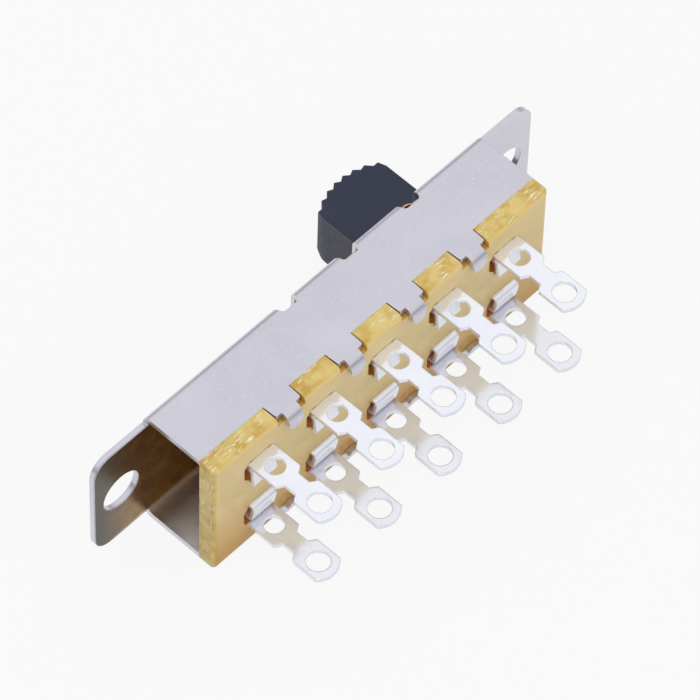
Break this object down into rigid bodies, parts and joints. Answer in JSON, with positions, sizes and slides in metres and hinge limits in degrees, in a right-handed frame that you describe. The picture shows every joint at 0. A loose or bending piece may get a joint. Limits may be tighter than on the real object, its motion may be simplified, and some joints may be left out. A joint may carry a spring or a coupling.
{
  "type": "slide switch",
  "caption": "Panel-mount slide switch: folded steel cover with two drilled ears, toothed knob, and two rows of solder lugs with double eyes on a laminate board",
  "frame": {"origin": "on the outer face of the front plate, midway between the two mounting holes", "axes": "+X along the slide, -Y towards the knob and the panel, +Y towards the solder lugs, +Z across the two rows of lugs"},
  "size_m": [0.0452, 0.0208, 0.0126],
  "materials": {
    "plated_steel": "satin zinc-plated sheet steel",
    "laminate": "glossy yellow-ochre phenolic laminate",
    "slide_plastic": "satin slate-black moulding",
    "spring_bronze": "bright phosphor bronze leaf",
    "contact_metal": "silver-plated brass",
    "spring_wire": "drawn spring wire",
    "tinned_brass": "bright tinned brass strip"
  },
  "bodies": {
    "housing": {"cover": "plated_steel", "terminal_board": "laminate", "terminal_a1": "tinned_brass", "terminal_a2": "tinned_brass", "terminal_a3": "tinned_brass", "terminal_a4": "tinned_brass", "terminal_a5": "tinned_brass", "terminal_b1": "tinned_brass", "terminal_b2": "tinned_brass", "terminal_b3": "tinned_brass", "terminal_b4": "tinned_brass", "terminal_b5": "tinned_brass"},
    "slide": {"slide_actuator": "slide_plastic", "detent_spring": "spring_bronze", "bridging_contact_a": "contact_metal", "bridging_contact_b": "contact_metal", "contact_spring_a": "spring_wire", "contact_spring_b": "spring_wire"}
  },
  "joints": [
    {"name": "slide_travel", "type": "slide", "parent": "housing", "child": "slide", "axis": [1, 0, 0], "range_m": [-0.0003, 0.0124], "deforming": ["detent_spring"]}
  ]
}
